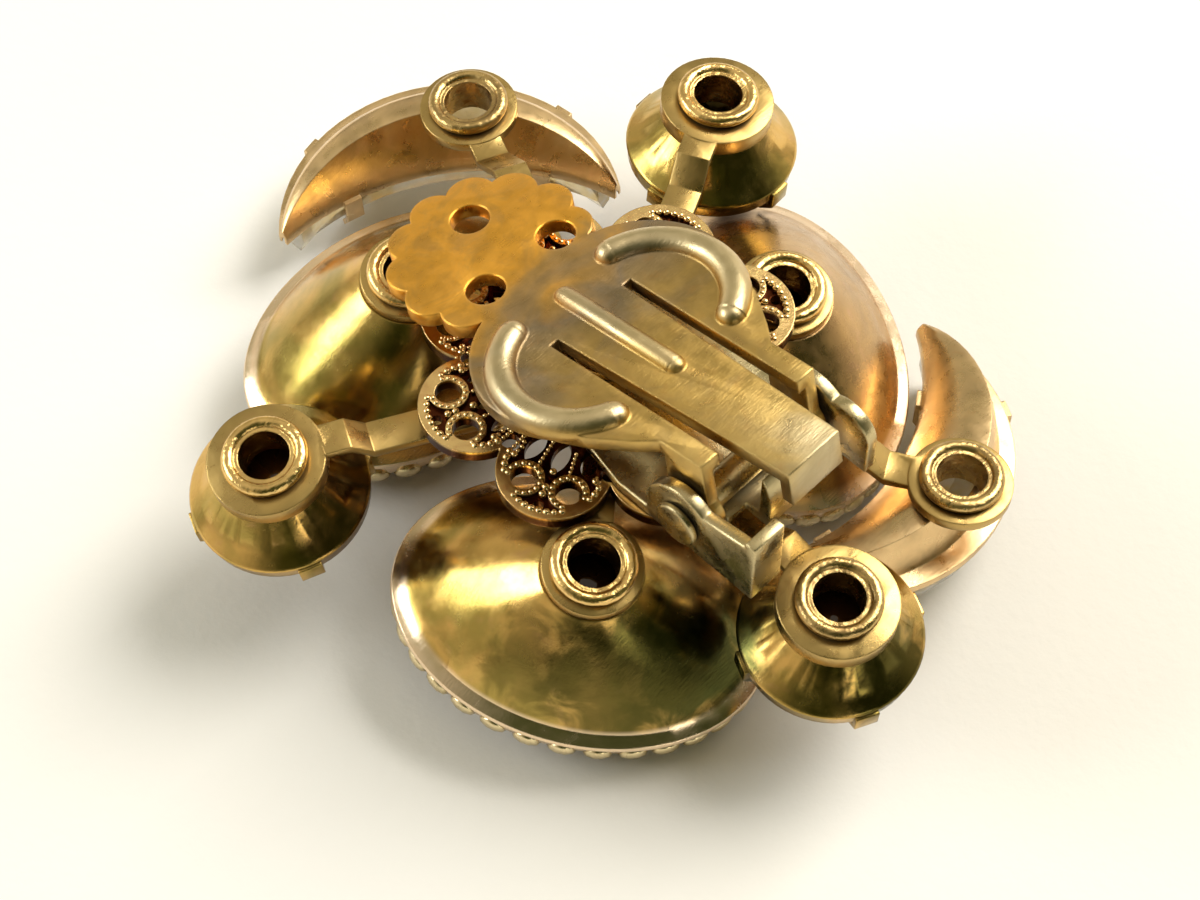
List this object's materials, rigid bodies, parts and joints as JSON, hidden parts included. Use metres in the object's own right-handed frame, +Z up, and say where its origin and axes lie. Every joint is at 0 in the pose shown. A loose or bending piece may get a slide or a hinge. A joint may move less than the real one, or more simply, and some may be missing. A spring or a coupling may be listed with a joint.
{
  "type": "clip-on earring",
  "caption": "Clip-on cluster earring: oval, round and crescent stone cups riveted by hollow eyelets to a sheet arm frame, with a pierced back plate and a hinged flower paddle.",
  "frame": {"origin": "centre of the whole part's box, at the height of the surface it lies on", "axes": "+Z up out of the earring's back, its stones facing down; +Y from the clip's hinge towards its flower pad; +X to the right seen from above"},
  "size_m": [0.0294, 0.0346, 0.0134],
  "materials": {
    "sheet_metal": "satin, dull olive gold",
    "gilt_metal": "bright gilt",
    "cup_metal": "polished",
    "clip_metal": "worn, coppery tarnish",
    "pale_metal": "satin, worn pale",
    "golden_stone": "polished, foil backed",
    "clear_stone": "polished"
  },
  "bodies": {
    "setting": {"arm_frame": "sheet_metal", "filigree_plate": "gilt_metal", "centre_rivet": "gilt_metal", "clip_bracket": "pale_metal", "hinge_pin": "pale_metal", "cup_large_left": "cup_metal", "cup_large_bottom": "cup_metal", "cup_large_right": "cup_metal", "cup_small_left": "cup_metal", "cup_small_bottom": "cup_metal", "cup_small_top": "cup_metal", "cup_crescent_top": "cup_metal", "cup_crescent_right": "cup_metal", "eyelet_large_left": "gilt_metal", "eyelet_large_bottom": "gilt_metal", "eyelet_large_right": "gilt_metal", "eyelet_small_left": "gilt_metal", "eyelet_small_bottom": "gilt_metal", "eyelet_small_top": "gilt_metal", "eyelet_crescent_top": "gilt_metal", "eyelet_crescent_right": "gilt_metal", "stone_large_left": "golden_stone", "stone_large_bottom": "golden_stone", "stone_large_right": "golden_stone", "stone_small_left": "golden_stone", "stone_small_bottom": "golden_stone", "stone_small_top": "golden_stone", "stone_crescent_top": "clear_stone", "stone_crescent_right": "clear_stone"},
    "clip": {"clip_paddle": "clip_metal"}
  },
  "joints": [
    {"name": "clip_hinge", "type": "hinge", "parent": "setting", "child": "clip", "pos_m": [-0.00075, -0.00881, 0.01], "axis": [1, 0, 0], "range_deg": [0, 60]}
  ]
}
